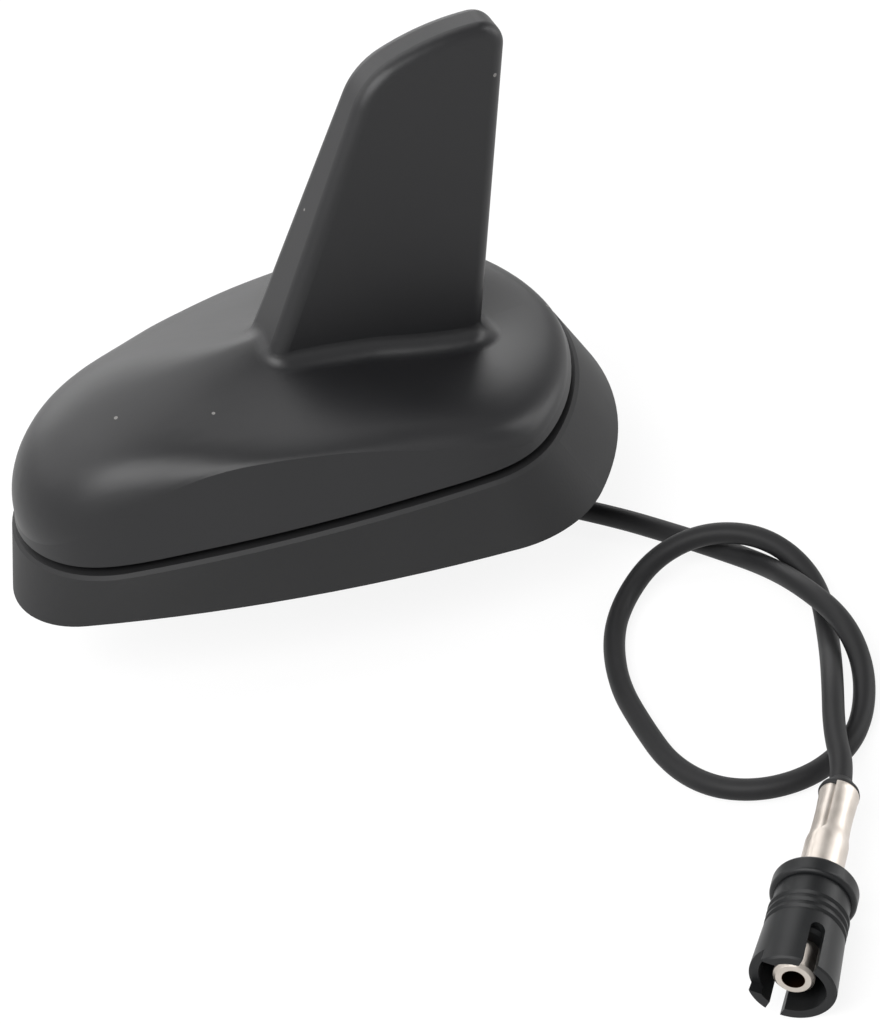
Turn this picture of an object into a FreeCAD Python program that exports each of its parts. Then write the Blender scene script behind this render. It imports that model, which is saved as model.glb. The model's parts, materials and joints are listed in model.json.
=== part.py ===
import FreeCAD, Part
import math
import os

V = FreeCAD.Vector
os.makedirs("parts", exist_ok=True)

# Short roof antenna for a car: moulded dome with a swept fin on a flared rubber gasket, and a coax lead.
# Millimetres. Z is up from the roof, X runs rearward, the origin is where the stud crosses the roof.

# Base outline, nose to rear
base_length = 110.0
base_nose_radius = 15.8
base_rear_radius = 51.9
base_corner_radius = 18.2
base_corner_angle = 42.3
base_side_radius = 279.0

# Top rim of the gasket
rim_length = 102.4
rim_nose_radius = 21.8
rim_rear_radius = 43.7
rim_corner_radius = 16.2
rim_corner_angle = 45.9
rim_side_radius = 283.0
rim_nose_setback = 3.25
rim_height = 11.5
rim_edge_bevel = 0.6

# Gasket and base plate
gasket_floor = 3.0
gasket_lip = 2.6
plate_thickness = 3.0
joint_clearance = 0.1
opening_length = 44.0
opening_width = 26.0
boss_length = 34.0
boss_width = 18.0
boss_depth = 2.4

# Stud through the roof
stud_diameter = 10.0
stud_shank = 8.6
stud_length = 18.0
stud_chamfer = 1.0

# Cover
shadow_gap = 1.5
cover_inset = 1.0
skirt_wall = 1.6
cover_wall = 2.4
core_ledge = 0.8
dome_front_height = 33.0
dome_slope = 0.52
dome_power = 4.0
spine_front = 2.5
spine_rear = 30.0
spine_half_width = 4.0
flank_low = 1.2
flank_rise = 11.0
flank_lean = 14.0
flank_centre = 0.375
flank_span = 0.345
flank_power = 1.2
shoulder_angle = 28.0
edge_angle = 6.0

# Fin
fin_top = 76.6
fin_top_x = 42.0
fin_top_radius = 42.0
fin_lead_angle = 56.3
fin_lead_x = 7.8
fin_lead_z = 45.0
fin_lead_blend = 13.0
fin_trail_angle = 71.8
fin_trail_x = 43.0
fin_trail_z = 43.0
fin_tip_radius = 4.2
fin_foot_thickness = 13.0
fin_top_thickness = 8.4
fin_edge_round = 2.5
fin_foot_fillet = 3.2
fin_wall = 2.2

# Electronics inside
board_thickness = 1.6
board_standoff = 3.0
board_width = 26.0
board_nose_gap = 25.0
board_length = 62.0
board_post_diameter = 6.0
board_pin_diameter = 2.4
board_pin_height = 2.6
board_post_inset = 4.0
board_post_side = 9.0
shield_setback = 9.0
shield_length = 24.0
shield_width = 18.0
shield_height = 6.0
shield_wall = 0.5
radiator_thickness = 1.2
radiator_margin = 6.5

# Screws
screw_diameter = 2.6
screw_head_diameter = 5.4
screw_head_height = 1.8
screw_boss_diameter = 7.0
screw_bite = 7.0
screw_front_inset = 21.0
screw_front_side = 9.0
screw_rear_inset = 28.0
screw_rear_side = 24.0

# Lead and plug
cable_diameter = 3.7
ferrule_diameter = 6.2
ferrule_root_diameter = 7.0
ferrule_length = 21.5
ferrule_neck_length = 9.0
plug_diameter = 14.3
plug_length = 22.4
plug_wall = 1.6
collar_diameter = 13.9
collar_length = 3.4
collar_round = 0.75
neck_diameter = 12.2
rib_height = 0.4
rib_pitch = 1.5
plug_slot_width = 2.5
plug_slot_length = 9.0
mouth_notch_depth = 2.6
mouth_notch_width = 8.0
mouth_step = 0.9
plug_roll = 35.0
contact_diameter = 6.6
contact_bore = 3.6
contact_length = 14.0
contact_bore_depth = 10.0
contact_recess = 2.2
plug_heading = 234.8
plug_x = 46.5
plug_y = -115.3
knot_lift = 7.4


def chain(nose_x, length, nose_r, rear_r, corner_r, corner_deg, side_r, inset):
    """Centres, radii and joint points of the six tangent arcs of a base outline."""
    rear_x = nose_x + length
    nose = V(nose_x + nose_r, 0, 0)
    rear = V(rear_x - rear_r, 0, 0)
    a = math.radians(corner_deg)
    corner = rear + V(math.cos(a), math.sin(a), 0) * (rear_r - corner_r)
    link = corner - nose
    dist = link.Length
    along = link * (1.0 / dist)
    across = V(along.y, -along.x, 0)
    ra = side_r - nose_r
    rb = side_r - corner_r
    t = (ra * ra - rb * rb + dist * dist) / (2.0 * dist)
    side = nose + along * t + across * math.sqrt(ra * ra - t * t)
    a_nose = math.atan2(nose.y - side.y, nose.x - side.x)
    a_corner = math.atan2(corner.y - side.y, corner.x - side.x)
    arcs = [
        (nose, nose_r - inset, math.pi, a_nose),
        (side, side_r - inset, a_nose, a_corner),
        (corner, corner_r - inset, a_corner, a),
        (rear, rear_r - inset, a, 0.0),
    ]
    return arcs


def on_arc(arc, f, z, flip):
    c, r, a0, a1 = arc
    a = a0 + (a1 - a0) * f
    y = c.y + r * math.sin(a)
    return V(c.x + r * math.cos(a), -y if flip else y, z)


def outline_wire(arcs, z):
    """Closed wire of six arcs, the nose and rear arcs each crossing the middle plane."""
    nose, side, corner, rear = arcs
    edges = []
    edges.append(Part.Arc(on_arc(nose, 1, z, True), on_arc(nose, 0, z, False), on_arc(nose, 1, z, False)))
    edges.append(Part.Arc(on_arc(side, 0, z, False), on_arc(side, 0.5, z, False), on_arc(side, 1, z, False)))
    edges.append(Part.Arc(on_arc(corner, 0, z, False), on_arc(corner, 0.5, z, False), on_arc(corner, 1, z, False)))
    edges.append(Part.Arc(on_arc(rear, 0, z, False), on_arc(rear, 1, z, False), on_arc(rear, 0, z, True)))
    edges.append(Part.Arc(on_arc(corner, 1, z, True), on_arc(corner, 0.5, z, True), on_arc(corner, 0, z, True)))
    edges.append(Part.Arc(on_arc(side, 1, z, True), on_arc(side, 0.5, z, True), on_arc(side, 0, z, True)))
    return Part.Wire([e.toShape() for e in edges])


def base_arcs(inset):
    return chain(-base_length / 2, base_length, base_nose_radius, base_rear_radius, base_corner_radius,
                 base_corner_angle, base_side_radius, inset)


def rim_arcs(inset):
    return chain(-base_length / 2 + rim_nose_setback, rim_length, rim_nose_radius, rim_rear_radius,
                 rim_corner_radius, rim_corner_angle, rim_side_radius, inset)


def prism(arcs, z0, z1):
    return Part.Face(outline_wire(arcs, z0)).extrude(V(0, 0, z1 - z0))


def slot_prism(cx, length, width, z0, z1):
    """Upright prism with rounded ends."""
    r = width / 2
    h = length / 2 - r
    box = Part.makeBox(2 * h, width, z1 - z0, V(cx - h, -r, z0))
    end_a = Part.makeCylinder(r, z1 - z0, V(cx - h, 0, z0))
    end_b = Part.makeCylinder(r, z1 - z0, V(cx + h, 0, z0))
    return box.fuse([end_a, end_b]).removeSplitter()


def outline_points(arcs, counts):
    """Points round an outline from the rear, each with its inward normal and its share of the way from the nose."""
    lengths = [abs(r * (a1 - a0)) for c, r, a0, a1 in arcs]
    total = sum(lengths)
    half = []
    done = 0.0
    for arc, n, length in zip(arcs, counts, lengths):
        for k in range(n):
            p = on_arc(arc, k / n, 0, False)
            half.append((p, (arc[0] - p).normalize(), (done + length * k / n) / total))
        done += length
    end = on_arc(arcs[3], 1, 0, False)
    half.append((end, (arcs[3][0] - end).normalize(), 1.0))
    other = [(V(p.x, -p.y, 0), V(n.x, -n.y, 0), u) for p, n, u in half[1:-1]]
    return list(reversed(half)) + other


def ring_wire(points):
    curve = Part.BSplineCurve()
    curve.interpolate(Points=points, PeriodicFlag=True)
    return Part.Wire([curve.toShape()])


def dome_solid(arcs, z0, lower, counts, steps, flanked):
    """Dome that rises from an outline to a narrow sloping spine under the fin.

    A flanked dome first has a leaning side wall, up to a shoulder that arches along each side.
    """
    pts = outline_points(arcs, counts)
    xs = [p.x for p, n, u in pts]
    half_y = max(p.y for p, n, u in pts)
    mid = (spine_front + spine_rear) / 2
    half_x = (spine_rear - spine_front) / 2
    e = 2 / dome_power
    lean = math.tan(math.radians(flank_lean))
    rings = []
    for k in range(steps + 1):
        ring = []
        for p, n, u in pts:
            w = 0.0
            a0 = 0.0
            wall = 0.0
            if flanked:
                w = math.cos(math.pi / 2 * max(-1.0, min(1.0, (u - flank_centre) / flank_span))) ** flank_power
                a0 = math.radians(edge_angle + (shoulder_angle - edge_angle) * w)
                wall = flank_low + flank_rise * w
            a = a0 + (math.pi / 2 - a0) * k / steps
            out = (math.cos(a) / math.cos(a0)) ** e if k < steps else 0.0
            s0 = math.sin(a0) ** e
            rise = (math.sin(a) ** e - s0) / (1 - s0)
            rim = p + n * (wall * lean)
            reach = max(xs) - mid if p.x > mid else mid - min(xs)
            t = math.atan2(p.y / half_y, (p.x - mid) / reach)
            q = V(mid + half_x * math.cos(t), spine_half_width * math.sin(t), 0)
            top = dome_front_height - dome_slope * q.x - lower
            z = z0 + wall
            ring.append(V(q.x + (rim.x - q.x) * out, q.y + (rim.y - q.y) * out, z + (top - z) * rise))
        rings.append(ring_wire(ring))
    if not flanked:
        return Part.makeLoft(rings, True, True)
    foot = ring_wire([V(p.x, p.y, z0) for p, n, u in pts])
    faces = Part.makeLoft([foot, rings[0]], False, True).Faces
    faces += Part.makeLoft(rings, False, False).Faces
    faces += [Part.Face(foot), Part.Face(rings[-1])]
    shell = Part.Shell(faces)
    shell.sewShape()
    solid = Part.Solid(shell)
    if solid.Volume < 0:
        solid.reverse()
    return solid


def fin_profile(inset):
    """Side view of the fin: swept leading edge, crowned top, leaning trailing edge."""
    la = math.radians(fin_lead_angle)
    ta = math.radians(fin_trail_angle)
    lead_dir = V(math.cos(la), 0, math.sin(la))
    lead_in = V(math.sin(la), 0, -math.cos(la))
    trail_dir = V(math.cos(ta), 0, math.sin(ta))
    trail_in = V(-math.sin(ta), 0, math.cos(ta))
    top = V(fin_top_x, 0, fin_top - fin_top_radius)
    big = fin_top_radius - inset
    lead = V(fin_lead_x, 0, fin_lead_z) + lead_in * inset
    trail = V(fin_trail_x, 0, fin_trail_z) + trail_in * inset
    blend = fin_lead_blend - inset
    tip = max(fin_tip_radius - inset, 1.2)

    def centre(point, direction, inward, r):
        start = point + inward * r - top
        b = start.dot(direction)
        c = start.dot(start) - (big - r) ** 2
        s = -b + math.sqrt(b * b - c)
        return top + start + direction * s

    cb = centre(lead, lead_dir, lead_in, blend)
    ct = centre(trail, trail_dir, trail_in, tip)
    p1 = cb - lead_in * blend
    ub = (cb - top).normalize()
    p2 = top + ub * big
    m1 = cb + (ub - lead_in).normalize() * blend
    ut = (ct - top).normalize()
    p3 = top + ut * big
    m2 = top + (ub + ut).normalize() * big
    p4 = ct - trail_in * tip
    m3 = ct + (ut - trail_in).normalize() * tip
    low = gasket_floor + plate_thickness + 8.0
    foot_a = lead + lead_dir * ((low - lead.z) / lead_dir.z)
    foot_b = trail + trail_dir * ((low - trail.z) / trail_dir.z)
    edges = [
        Part.makeLine(foot_a, p1),
        Part.Arc(p1, m1, p2).toShape(),
        Part.Arc(p2, m2, p3).toShape(),
        Part.Arc(p3, m3, p4).toShape(),
        Part.makeLine(p4, foot_b),
        Part.makeLine(foot_b, foot_a),
    ]
    return Part.Wire(edges), low


def fin_solid(inset):
    """Tapered slab cut to the side view of the fin."""
    wire, low = fin_profile(inset)
    wide = Part.Face(wire).extrude(V(0, 40, 0))
    wide.translate(V(0, -20, 0))
    slope = (fin_foot_thickness - fin_top_thickness) / 2 / (fin_top - 28.0)
    y0 = fin_top_thickness / 2 + slope * (fin_top - low) - inset
    y1 = fin_top_thickness / 2 - slope * 4.0 - inset
    z1 = fin_top + 4.0
    x0 = -60.0
    slab = Part.makePolygon([V(x0, -y0, low), V(x0, y0, low), V(x0, y1, z1), V(x0, -y1, z1), V(x0, -y0, low)])
    taper = Part.Face(slab).extrude(V(140, 0, 0))
    body = wide.common(taper)
    if inset > 0:
        return body
    ring = []
    for e in body.Edges:
        m = e.valueAt((e.FirstParameter + e.LastParameter) / 2)
        flat = abs(m.y) < 1e-6
        if not flat and m.z > low + 0.01:
            ring.append(e)
    return body.makeFillet(fin_edge_round, ring)


# Levels
plate_bottom = gasket_floor
plate_top = gasket_floor + plate_thickness
cover_bottom = rim_height + shadow_gap
recess = gasket_lip
skirt_inset = gasket_lip + joint_clearance
inner_inset = skirt_inset + skirt_wall
parts = {}

# Base gasket: ruled flared wall, a lip that stands round the cover's skirt, and a floor open in the middle
rim = outline_wire(rim_arcs(0), rim_height - rim_edge_bevel)
crown = outline_wire(rim_arcs(rim_edge_bevel), rim_height)
wall = Part.makeLoft([outline_wire(base_arcs(0), 0), rim, crown], True, True)
wall = wall.cut(prism(rim_arcs(recess), gasket_floor, rim_height + 5))
gasket = wall.cut(slot_prism(4.0, opening_length, opening_width, -1, gasket_floor + 1))
front_x = -base_length / 2 + screw_front_inset
rear_x = base_length / 2 - screw_rear_inset
screw_points = [(front_x, screw_front_side), (front_x, -screw_front_side)]
screw_points += [(rear_x, screw_rear_side), (rear_x, -screw_rear_side)]
for x, y in screw_points:
    gasket = gasket.cut(Part.makeCylinder(screw_head_diameter / 2 + 0.5, gasket_floor + 2, V(x, y, -1)))
parts["base_gasket"] = gasket

# Base plate: cast plate with a rounded locating boss, four screw holes, four standoffs and a gland hole
plate = prism(rim_arcs(skirt_inset), plate_bottom, plate_top)
boss = slot_prism(4.0, boss_length, boss_width, plate_bottom - boss_depth, plate_bottom)
board_bottom = plate_top + board_standoff
board_top = board_bottom + board_thickness
board_front = -base_length / 2 + board_nose_gap
board_rear = board_front + board_length
board_points = [(board_front + board_post_inset, 0.0)]
board_points += [(board_rear - board_post_inset, y) for y in (board_post_side, -board_post_side)]
board_posts = []
for x, y in board_points:
    board_posts.append(Part.makeCylinder(board_post_diameter / 2, board_standoff, V(x, y, plate_top)))
    pin_radius = board_pin_diameter / 2 - joint_clearance / 2
    board_posts.append(Part.makeCylinder(pin_radius, board_standoff + board_pin_height, V(x, y, plate_top)))
plate = plate.fuse([boss] + board_posts).removeSplitter()
for x, y in screw_points:
    plate = plate.cut(Part.makeCylinder(screw_diameter / 2 + 0.3, 20, V(x, y, plate_bottom - 10)))
gland_x = 15.0
gland_hole = 6.4
plate = plate.cut(Part.makeCylinder(gland_hole / 2, 20, V(gland_x, 0, -10)))
boss_face = plate_bottom - boss_depth
stud_seat = plate_top - 1.5
plate = plate.cut(Part.makeCylinder(stud_shank / 2, stud_seat + 10, V(0, 0, -10)))
parts["base_plate"] = plate

# Mounting stud: plain at its major thread diameter, chamfered at the free end, seated in the boss
stud = Part.makeCylinder(stud_diameter / 2, stud_length + boss_face, V(0, 0, -stud_length))
low_edge = [e for e in stud.Edges if e.Closed and abs(e.Vertexes[0].Z + stud_length) < 0.01]
stud = stud.makeChamfer(stud_chamfer, low_edge)
parts["mounting_stud"] = stud.fuse(Part.makeCylinder(stud_shank / 2, stud_seat - boss_face, V(0, 0, boss_face)))

# Cover: dome and fin in one moulding, hollow, with a skirt that plugs into the gasket
outer = dome_solid(rim_arcs(cover_inset), cover_bottom, 0.0, (3, 6, 3, 2), 6, True)
print("dome", outer.isValid(), round(outer.Volume, 1))
fin = fin_solid(0.0)
body = outer.fuse(fin)
seam = []
for e in body.Edges:
    m = e.valueAt((e.FirstParameter + e.LastParameter) / 2)
    on_dome = min(f.distToShape(Part.Vertex(m))[0] for f in outer.Faces) < 1e-3
    on_fin = min(f.distToShape(Part.Vertex(m))[0] for f in fin.Faces) < 1e-3
    if on_dome and on_fin and m.z > cover_bottom + 1:
        seam.append(e)
print("fin foot edges", len(seam))
body = body.makeFillet(fin_foot_fillet, seam)
skirt = prism(rim_arcs(skirt_inset), plate_top, cover_bottom)
body = body.fuse(skirt)
core = dome_solid(rim_arcs(inner_inset + core_ledge), cover_bottom, cover_wall, (2, 2, 2, 2), 4, False)
core = core.fuse([prism(rim_arcs(inner_inset), plate_top - 1, cover_bottom), fin_solid(fin_wall)])
cover = body.cut(core)
middle = dome_solid(rim_arcs(inner_inset), cover_bottom, cover_wall / 2, (2, 2, 2, 2), 4, False)
middle = middle.fuse(prism(rim_arcs(inner_inset), plate_top, cover_bottom))
posts = []
for x, y in screw_points:
    posts.append(Part.makeCylinder(screw_boss_diameter / 2, dome_front_height, V(x, y, plate_top)).common(middle))
cover = cover.fuse(posts)
for x, y in screw_points:
    cover = cover.cut(Part.makeCylinder(screw_diameter / 2, screw_bite + 2.0, V(x, y, plate_top - 1)))
parts["fin_cover"] = cover

# Cover screws: pan heads under the plate, shanks up into the bosses of the cover
for n, (x, y) in enumerate(screw_points, 1):
    head_z = plate_bottom - screw_head_height
    head = Part.makeCylinder(screw_head_diameter / 2, screw_head_height, V(x, y, head_z))
    shank = Part.makeCylinder(screw_diameter / 2, plate_thickness + screw_bite, V(x, y, plate_bottom))
    parts["cover_screw_%d" % n] = head.fuse(shank).removeSplitter()

# Amplifier board on three posts of the plate
board = Part.makeBox(board_length, board_width, board_thickness, V(board_front, -board_width / 2, board_bottom))
upright = [e for e in board.Edges if abs(e.Vertexes[0].Z - e.Vertexes[1].Z) > 1.0]
board = board.makeFillet(2.0, upright)
for x, y in board_points:
    board = board.cut(Part.makeCylinder(board_pin_diameter / 2, board_thickness, V(x, y, board_bottom)))
parts["circuit_board"] = board

# Screening can: folded lid over the amplifier, open below, standing on the board
shield_x = board_front + shield_setback
can = Part.makeBox(shield_length, shield_width, shield_height, V(shield_x, -shield_width / 2, board_top))
round_edges = [e for e in can.Edges if abs(e.Vertexes[0].Z - e.Vertexes[1].Z) > 1.0]
can = can.makeFillet(0.8, round_edges)
hollow = Part.makeBox(shield_length - 2 * shield_wall, shield_width - 2 * shield_wall, shield_height - shield_wall,
                      V(shield_x + shield_wall, -shield_width / 2 + shield_wall, board_top))
parts["amplifier_shield"] = can.cut(hollow)

# Radiator: upright board that follows the fin, its tab standing on the amplifier board, held by a clip
wire, low = fin_profile(radiator_margin)
blade = Part.Face(wire).extrude(V(0, radiator_thickness, 0))
blade.translate(V(0, -radiator_thickness / 2, 0))
tab_bottom = board_top
tab_top = board_top + shield_height + 5.0
tab_x = shield_x + shield_length + 6.0
blade = blade.common(Part.makeBox(200, 20, 200, V(-100, -10, tab_top - 1.0)))
tab = Part.makeBox(16.0, radiator_thickness, tab_top - tab_bottom, V(tab_x, -radiator_thickness / 2, tab_bottom))
parts["fin_radiator"] = blade.fuse(tab).removeSplitter()
clip = Part.makeBox(5.0, 5.0, 4.5, V(tab_x + 5.5, -2.5, board_top))
clip = clip.cut(Part.makeBox(20.0, radiator_thickness, 10, V(tab_x - 2, -radiator_thickness / 2, board_top)))
clip = clip.fuse(Part.makeBox(1.2, 5.0, 4.5, V(tab_x + 16.0, -2.5, board_top)))
clip = clip.fuse(Part.makeBox(11.7, 1.0, 4.5, V(tab_x + 5.5, -2.5, board_top)))
clip = clip.fuse(Part.makeBox(11.7, 1.0, 4.5, V(tab_x + 5.5, 1.5, board_top)))
parts["radiator_clip"] = clip.removeSplitter()

# Route of the lead: plan points with the height of the centre over the ground that the stud's end touches
ground = -stud_length
rest = cable_diameter / 2
aim = V(11.0, -6.2, -9.0).normalize()
gland_point = V(gland_x, 0, -1.0)
exit_point = gland_point + aim * 5.0
bend = exit_point + aim * 13.0
axis = V(math.cos(math.radians(plug_heading)), math.sin(math.radians(plug_heading)), 0)
plug_point = V(plug_x, plug_y, ground + plug_diameter / 2)
jacket_depth = 2.5
entry = plug_point + axis * jacket_depth
route = [exit_point, bend]
for x, y, h in (
    (45.5, -22.1, 0.0), (52.9, -34.3, 0.0), (57.5, -41.4, 0.0), (62.5, -52.6, 0.0), (62.6, -66.8, 1.0),
    (64.6, -78.9, 1.0), (64.2, -87.2, 0.54), (60.0, -94.5, 0.0), (54.0, -100.7, 0.0), (46.1, -103.1, 0.0),
    (38.0, -101.4, 0.0), (31.8, -96.0, 0.0), (28.3, -87.1, 0.0), (28.1, -75.8, 0.0), (29.0, -63.8, 0.0),
    (32.5, -51.9, 0.0), (38.3, -45.8, 0.11), (45.1, -42.8, 0.66), (53.2, -43.9, 1.0), (60.4, -48.3, 1.0),
    (65.9, -54.3, 0.46), (67.1, -63.0, 0.0), (63.0, -75.3, 0.0), (57.2, -90.3, 0.82), (51.9, -102.7, 1.0),
):
    route.append(V(x, y, ground + rest + knot_lift * h))
route.append(plug_point - axis * 5.5)
route.append(entry)


def tube(points, diameter):
    """Round tube along straight runs joined by tangent arcs, with the radii of its bends."""
    edges = []
    radii = []
    length = 0.0
    at = points[0]
    for k in range(1, len(points) - 1):
        back = points[k - 1] - points[k]
        on = points[k + 1] - points[k]
        turn = math.pi - back.getAngle(on)
        cut = 0.45 * min(back.Length, on.Length)
        radius = cut / math.tan(turn / 2)
        back.normalize()
        on.normalize()
        a = points[k] + back * cut
        b = points[k] + on * cut
        middle = (back + on).normalize()
        m = points[k] + middle * (radius / math.cos(turn / 2) - radius)
        edges.append(Part.makeLine(at, a))
        edges.append(Part.Arc(a, m, b).toShape())
        length += (a - at).Length + radius * turn
        radii.append(round(radius, 1))
        at = b
    edges.append(Part.makeLine(at, points[-1]))
    length += (points[-1] - at).Length
    path = Part.Wire(edges)
    start = (points[1] - points[0]).normalize()
    ring = Part.Wire([Part.makeCircle(diameter / 2, points[0], start)])
    return path.makePipeShell([ring], True, False), radii, length


cable, bends, cable_length = tube(route, cable_diameter)
section = math.pi * cable_diameter ** 2 / 4
print("bend radii", bends, "smallest", min(bends), "length", round(cable_length, 1))
print("tube volume over section times length", round(cable.Volume / (section * cable_length), 4))
parts["antenna_cable"] = cable

# Grommet: sleeve through the plate, flange under the boss, and a snout aimed along the lead
sleeve = Part.makeCylinder(gland_hole / 2, plate_top + 0.8 - boss_face, V(gland_x, 0, boss_face))
collar = Part.makeCylinder(gland_hole / 2 + 1.0, 1.0, V(gland_x, 0, plate_top))
flange = Part.makeCylinder(gland_hole / 2 + 1.2, 1.0, V(gland_x, 0, boss_face - 1.0))
snout = Part.makeCone(4.0, cable_diameter / 2 + 0.9, 7.0, exit_point - aim * 7.0, aim)
snout = snout.common(Part.makeBox(60, 60, 60, V(gland_x - 30, -30, boss_face - 60)))
parts["cable_grommet"] = sleeve.fuse([collar, flange, snout]).removeSplitter()

# Plug and ferrule are drawn along +Z from the ferrule's mouth and then laid down on the ground
up = V(0, 0, 1)
side = up.cross(axis)
laid = FreeCAD.Placement(FreeCAD.Matrix(side.x, up.x, axis.x, plug_point.x, side.y, up.y, axis.y, plug_point.y,
                                        side.z, up.z, axis.z, plug_point.z, 0, 0, 0, 1))


def turned(points):
    """Body of revolution about Z from radius and height pairs."""
    pts = [V(r, 0, z) for r, z in points]
    return Part.Face(Part.makePolygon(pts + [pts[0]])).revolve(V(0, 0, 0), V(0, 0, 1), 360)


# Crimp ferrule: rolled sleeve, flared at the jacket's mouth, pressed flat on two sides, wider at its root
fr = ferrule_diameter / 2
root = ferrule_root_diameter / 2
mouth = cable_diameter / 2 + 0.35
ferrule = turned([(0, jacket_depth), (mouth, jacket_depth), (mouth, 0), (fr + 0.2, 0), (fr + 0.2, 0.7), (fr, 1.5),
                  (fr, ferrule_neck_length), (root, ferrule_neck_length + 1.2), (root, ferrule_length),
                  (0, ferrule_length)])
for turn in (0, 180):
    jaw = Part.makeBox(4 * fr, fr, ferrule_neck_length - 5.0, V(-2 * fr, fr - 0.35, 3.5))
    jaw.rotate(V(0, 0, 0), V(0, 0, 1), turn)
    ferrule = ferrule.cut(jaw)
parts["crimp_ferrule"] = ferrule

# Plug housing: rounded collar, neck with three ribs, and a flaring shroud with two slots and a stepped mouth
z0 = ferrule_length - 1.0
z1 = z0 + plug_length
pr = plug_diameter / 2
nr = neck_diameter / 2
lr = collar_diameter / 2
cr = contact_diameter / 2
cav = pr - plug_wall
z_neck = z0 + collar_length
z_rib = z_neck + 2 * rib_pitch
z_shroud = z_rib + 3 * rib_pitch
cavity = z_shroud + 0.5
tip = z1 - contact_recess
tail = tip - contact_length
profile = [(0, z0 + 1.0), (root, z0 + 1.0), (root, z0), (lr, z0), (lr, z_neck), (nr, z_neck)]
for k in range(3):
    z = z_rib + k * rib_pitch
    crest = nr + rib_height
    profile += [(nr, z), (crest, z + 0.25 * rib_pitch), (crest, z + 0.5 * rib_pitch), (nr, z + 0.75 * rib_pitch)]
profile += [(nr, z_shroud), (nr + 0.4, z_shroud + 0.3), (pr, z1 - 0.3), (pr - 0.3, z1), (cav, z1), (cav, cavity)]
profile += [(cr, cavity), (cr, tail), (0, tail)]
housing = turned(profile)
round_edges = [e for e in housing.Edges if abs(e.BoundBox.XLength - 2 * lr) < 0.01 and e.BoundBox.ZLength < 0.01]
housing = housing.makeFillet(collar_round, round_edges)
half = plug_slot_width / 2
for turn in (0, 180):
    slot = Part.makeBox(plug_slot_width, pr, plug_slot_length, V(-half, cr, z1 - plug_slot_length + half))
    slot = slot.fuse(Part.makeCylinder(half, pr, V(0, cr, z1 - plug_slot_length + half), V(0, 1, 0)))
    slot.rotate(V(0, 0, 0), V(0, 0, 1), turn)
    housing = housing.cut(slot)
notch = Part.makeBox(pr, mouth_notch_width, 2 * mouth_notch_depth,
                     V(cr, -mouth_notch_width / 2, z1 - mouth_notch_depth))
notch.rotate(V(0, 0, 0), V(0, 0, 1), 190)
step = Part.makeBox(2 * pr, 4 * pr, 2 * mouth_step, V(0, -2 * pr, z1 - mouth_step))
step.rotate(V(0, 0, 0), V(0, 0, 1), -65)
housing = housing.cut(notch).cut(step)
housing.rotate(V(0, 0, 0), V(0, 0, 1), -plug_roll)
parts["plug_housing"] = housing

# Insulating bush and the socket contact it carries
bush = cavity + 3.0
parts["plug_insulator"] = turned([(cr, cavity), (cav, cavity), (cav, bush - 0.5), (cav - 0.5, bush), (cr, bush)])
hole = contact_bore / 2
parts["contact_tube"] = turned([(0, tail), (cr, tail), (cr, tip - 0.5), (cr - 0.5, tip), (hole, tip),
                                (hole, tip - contact_bore_depth), (0, tip - contact_bore_depth)])
print("socket mouth", plug_point + axis * tip)
for name in ("crimp_ferrule", "plug_housing", "plug_insulator", "contact_tube"):
    parts[name].Placement = laid.multiply(parts[name].Placement)

for name in parts:
    s = parts[name]
    print(name, s.isValid(), len(s.Solids), round(s.Volume, 1), s.BoundBox)
    s.exportStep("parts/" + name + ".step")
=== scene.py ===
import json
import math

import bmesh
import bpy
from mathutils import Matrix, Vector

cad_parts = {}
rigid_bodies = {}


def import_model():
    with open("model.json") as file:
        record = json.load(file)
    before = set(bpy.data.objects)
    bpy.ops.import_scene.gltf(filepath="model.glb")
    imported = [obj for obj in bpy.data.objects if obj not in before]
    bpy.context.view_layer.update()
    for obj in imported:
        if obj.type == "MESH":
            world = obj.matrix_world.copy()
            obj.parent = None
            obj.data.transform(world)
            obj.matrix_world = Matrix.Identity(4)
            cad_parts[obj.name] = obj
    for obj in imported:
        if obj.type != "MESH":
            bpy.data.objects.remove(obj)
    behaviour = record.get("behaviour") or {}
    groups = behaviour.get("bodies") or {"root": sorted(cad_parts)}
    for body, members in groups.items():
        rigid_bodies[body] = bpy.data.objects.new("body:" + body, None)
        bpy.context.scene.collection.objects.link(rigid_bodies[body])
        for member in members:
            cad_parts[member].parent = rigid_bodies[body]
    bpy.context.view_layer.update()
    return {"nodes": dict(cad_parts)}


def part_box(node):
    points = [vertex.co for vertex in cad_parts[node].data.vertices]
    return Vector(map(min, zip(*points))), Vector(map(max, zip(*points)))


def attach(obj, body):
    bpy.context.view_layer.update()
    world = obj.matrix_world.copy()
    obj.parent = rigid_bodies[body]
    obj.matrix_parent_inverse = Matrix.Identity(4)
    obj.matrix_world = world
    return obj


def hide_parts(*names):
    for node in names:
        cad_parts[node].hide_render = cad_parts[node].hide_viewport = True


for leftover in list(bpy.data.objects):
    bpy.data.objects.remove(leftover)

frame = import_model()


# Base plate: a die-cast aluminium plate that closes the cover from below, with a locating boss,
# three posts for the board and the holes for stud, lead and screws. Left as cast, with a grey skin.


def linear(hex_colour):
    """Linear RGBA of an sRGB hex colour."""
    channels = [int(hex_colour[k:k + 2], 16) / 255 for k in (1, 3, 5)]
    return [c / 12.92 if c <= 0.04045 else ((c + 0.055) / 1.055) ** 2.4 for c in channels] + [1.0]


def node(tree, kind, inputs=None, **settings):
    """Adds a node to a tree, with its settings, and its inputs as values or links."""
    made = tree.nodes.new(kind)
    for name, value in settings.items():
        setattr(made, name, value)
    for name, value in (inputs or {}).items():
        if isinstance(value, bpy.types.NodeSocket):
            tree.links.new(value, made.inputs[name])
        else:
            made.inputs[name].default_value = value
    return made


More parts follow.
